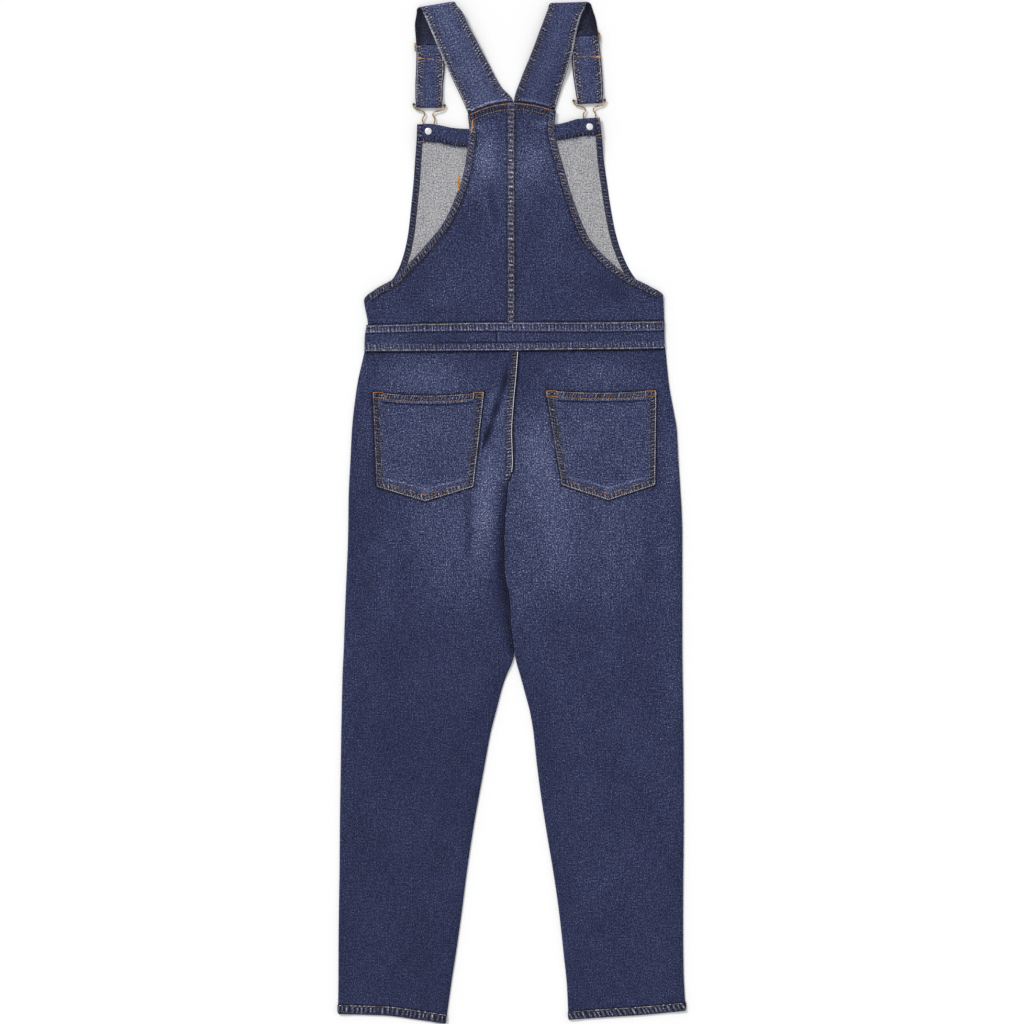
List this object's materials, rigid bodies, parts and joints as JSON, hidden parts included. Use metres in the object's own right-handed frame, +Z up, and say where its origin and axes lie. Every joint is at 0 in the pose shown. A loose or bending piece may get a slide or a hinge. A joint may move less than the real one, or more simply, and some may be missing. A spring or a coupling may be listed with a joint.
{
  "type": "denim dungarees",
  "caption": "Denim dungarees lying flat with the back up: legs, waistband, bibs, straps, sliders, wire hooks and buttons.",
  "frame": {"origin": "under the middle of the garment's box, on the surface it lies on", "axes": "+Y from the leg hems towards the straps, +Z up out of the surface, +X to the wearer's right"},
  "size_m": [0.4798, 1.4094, 0.0092],
  "materials": {
    "denim": "mid-blue washed denim, matt",
    "denim_worn": "denim worn paler at raised edges",
    "denim_wrong_side": "grey wrong side of the denim",
    "hook_brass": "aged brass, satin",
    "rivet_steel": "satin"
  },
  "bodies": {
    "root": {"back_leg_left": "denim", "back_leg_right": "denim", "front_leg_left": "denim", "front_leg_right": "denim", "waistband_back": "denim", "waistband_front": "denim", "back_bib_left": "denim", "back_bib_right": "denim", "front_bib": "denim_wrong_side", "bib_facing": "denim", "bib_hem_left": "denim", "bib_hem_right": "denim", "bib_pocket": "denim", "back_pocket_left": "denim_worn", "back_pocket_right": "denim_worn", "strap_left": "denim_worn", "strap_right": "denim_worn", "slider_left": "hook_brass", "slider_right": "hook_brass", "hook_left": "hook_brass", "hook_right": "hook_brass", "button_left": "hook_brass", "button_right": "hook_brass", "rivet_left": "rivet_steel", "rivet_right": "rivet_steel"}
  },
  "joints": []
}
